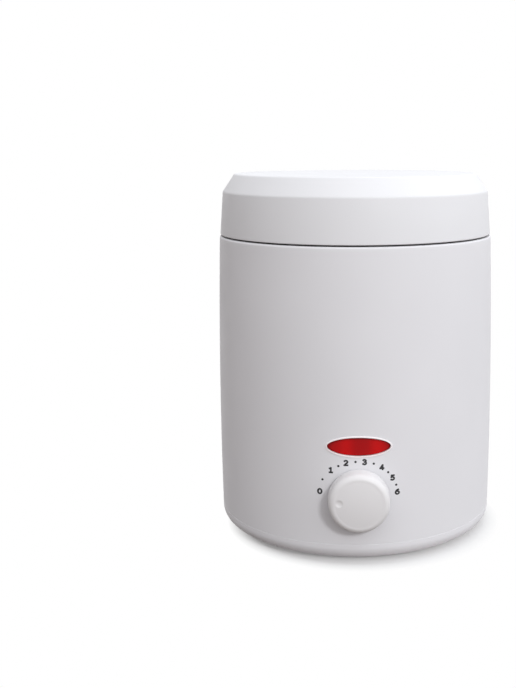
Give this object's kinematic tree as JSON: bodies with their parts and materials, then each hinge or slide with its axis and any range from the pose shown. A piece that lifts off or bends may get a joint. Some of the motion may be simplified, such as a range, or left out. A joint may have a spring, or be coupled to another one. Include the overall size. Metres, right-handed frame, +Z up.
{
  "type": "wax warmer",
  "caption": "Small round electric wax warmer with a loose lid, a lift-out pot with a bail, a front dial knob and an oval red indicator lens.",
  "frame": {"origin": "on the table plane, under the centre line of the round body", "axes": "+Z up along the body's centre line; -Y towards the front, where the knob and the lens are; +Y towards the cord inlet at the rear; +X to the right seen from the front"},
  "size_m": [0.1048, 0.1157, 0.1331],
  "materials": {
    "white_plastic": "glossy moulded ABS with a very faint pink cast",
    "knob_plastic": "glossy moulded ABS",
    "foot_rubber": "matt rubber",
    "screw_steel": "zinc-plated steel",
    "silicone": "soft silicone",
    "aluminium": "spun aluminium",
    "pot_aluminium": "spun aluminium, fine turning marks",
    "stainless": "bright drawn steel",
    "mica": "mica sheet",
    "heater": "resistance ring bound in dark mica",
    "plate_steel": "plated pressed steel",
    "fuse_metal": "metal-cased thermal cut-out",
    "brass": "turned brass",
    "spring_steel": "blued spring steel",
    "ceramic": "steatite ceramic",
    "bronze": "phosphor bronze strip",
    "contact_silver": "silver contacts",
    "bimetal": "bimetal strip",
    "red_lens": "translucent red polycarbonate",
    "cream_plastic": "heat-resistant nylon",
    "lamp_glass": "clear glass with a warm tint",
    "dark_rubber": "moulded rubber-like plastic",
    "dark_plastic": "moulded nylon",
    "brown_lead": "silicone-sleeved wire",
    "blue_lead": "silicone-sleeved wire",
    "earth_lead": "green and yellow sleeved wire",
    "red_lead": "thin sleeved wire",
    "resistor": "sleeved resistor"
  },
  "bodies": {
    "root": {"body_shell": "white_plastic", "base_pan": "white_plastic", "feet": "foot_rubber", "base_screws": "screw_steel", "cup_gasket": "silicone", "heater_cup": "aluminium", "mica_sheet": "mica", "heating_ring": "heater", "clamp_plate": "plate_steel", "centre_stud": "plate_steel", "stud_nuts": "plate_steel", "stud_spacer": "plate_steel", "heat_shield": "aluminium", "cup_strap": "plate_steel", "strap_screws": "screw_steel", "thermal_fuse": "fuse_metal", "fuse_clip": "plate_steel", "thermostat_bracket": "plate_steel", "bracket_screws": "screw_steel", "spindle_bushing": "brass", "bushing_nut": "plate_steel", "pressure_pin": "ceramic", "stack_ceramics": "ceramic", "stack_rivet": "plate_steel", "front_leaf": "bronze", "rear_leaf": "bronze", "contact_points": "contact_silver", "bimetal_blade": "bimetal", "bimetal_button": "ceramic", "indicator_lens": "red_lens", "lamp_holder": "cream_plastic", "lamp_screws": "screw_steel", "neon_bulb": "lamp_glass", "lamp_electrodes": "stainless", "cord_gland": "dark_rubber", "gland_nut": "dark_plastic", "cord_clamp": "cream_plastic", "clamp_screws": "screw_steel", "terminal_block": "cream_plastic", "terminal_barrels": "brass", "terminal_screws": "screw_steel", "block_screw": "screw_steel", "live_lead": "brown_lead", "switched_lead": "brown_lead", "element_lead": "brown_lead", "neutral_lead": "blue_lead", "earth_lead": "earth_lead", "lamp_leads": "red_lead", "lamp_resistor": "resistor"},
    "pot": {"wax_pot": "pot_aluminium", "pot_ears": "stainless", "ear_rivets": "stainless"},
    "bail": {"bail_handle": "stainless"},
    "lid": {"lid": "white_plastic"},
    "knob": {"knob": "knob_plastic", "spindle": "stainless", "spindle_circlip": "spring_steel", "knob_clip": "spring_steel"}
  },
  "joints": [
    {"name": "pot_lift", "type": "slide", "parent": "root", "child": "pot", "axis": [0, 0, 1], "range_m": [0, 0.09]},
    {"name": "lid_lift", "type": "slide", "parent": "pot", "child": "lid", "axis": [0, 0, 1], "range_m": [0, 0.15]},
    {"name": "bail_swing", "type": "hinge", "parent": "pot", "child": "bail", "pos_m": [0, 0, 0.1095], "axis": [1, 0, 0], "range_deg": [0, 180]},
    {"name": "knob_turn", "type": "hinge", "parent": "root", "child": "knob", "pos_m": [0, -0.055, 0.0246], "axis": [0, 1, 0], "range_deg": [0, 167]}
  ],
  "couplings": [
    {"joint": "bail_swing", "follows": "lid_lift", "rad_per_m": 20.94}
  ]
}
